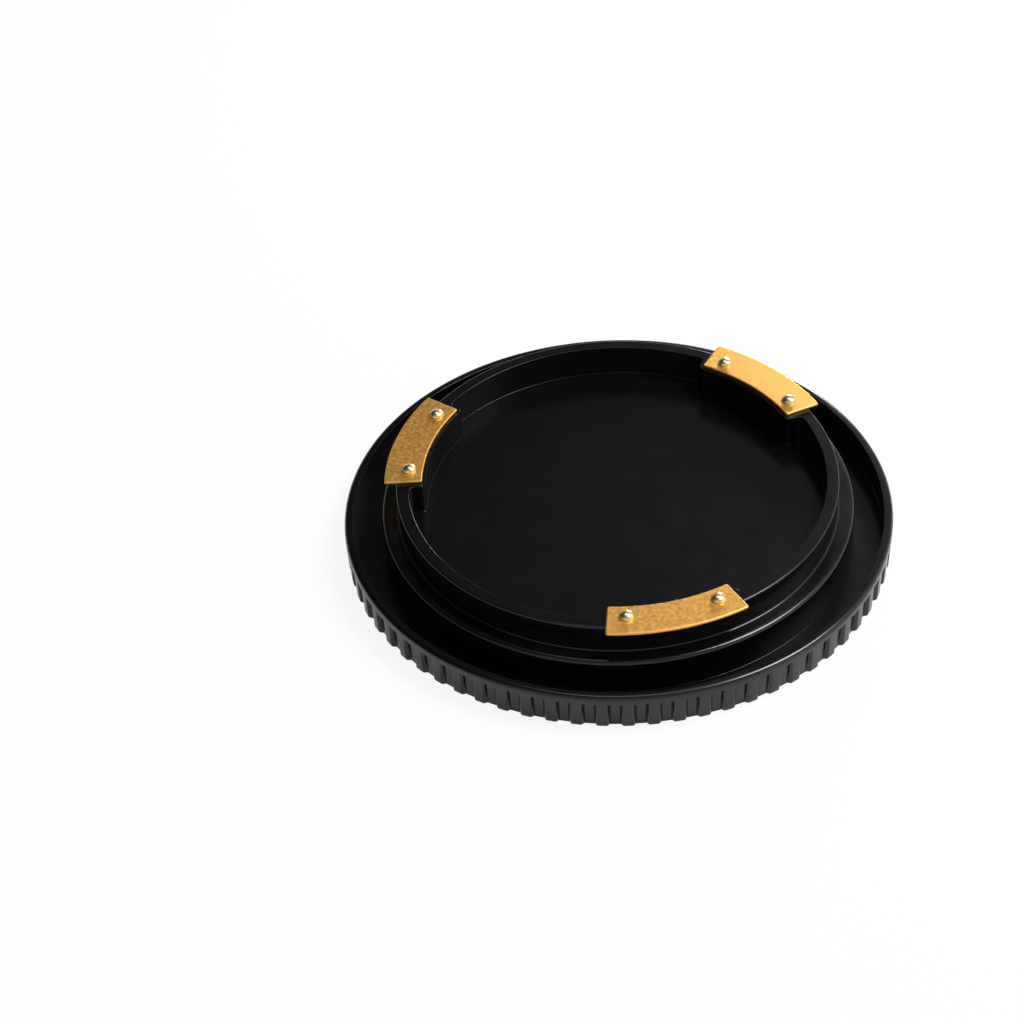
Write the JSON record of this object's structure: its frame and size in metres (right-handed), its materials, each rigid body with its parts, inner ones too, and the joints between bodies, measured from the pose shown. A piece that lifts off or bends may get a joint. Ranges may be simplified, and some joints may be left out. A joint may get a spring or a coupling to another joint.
{
  "type": "camera body cap",
  "caption": "Round moulded cap that closes a large bayonet camera mount: ribbed grip, trough behind the rim, and a raised ring with riveted brass tabs.",
  "frame": {"origin": "centre of the cap's flat outer face, which it lies on when it is off the camera", "axes": "+Z along the cap's axis, from the outer face towards the camera; the tabs are centred at 30, 150 and 270 degrees from +X towards +Y"},
  "size_m": [0.1054, 0.1054, 0.0166],
  "materials": {
    "black_plastic": "moulded black, semi-gloss",
    "brass_sheet": "satin rolled sheet",
    "rivet_metal": "bright, plated"
  },
  "bodies": {
    "root": {"cap_body": "black_plastic", "bayonet_tab_1": "brass_sheet", "bayonet_tab_2": "brass_sheet", "bayonet_tab_3": "brass_sheet", "rivets": "rivet_metal"}
  },
  "joints": []
}
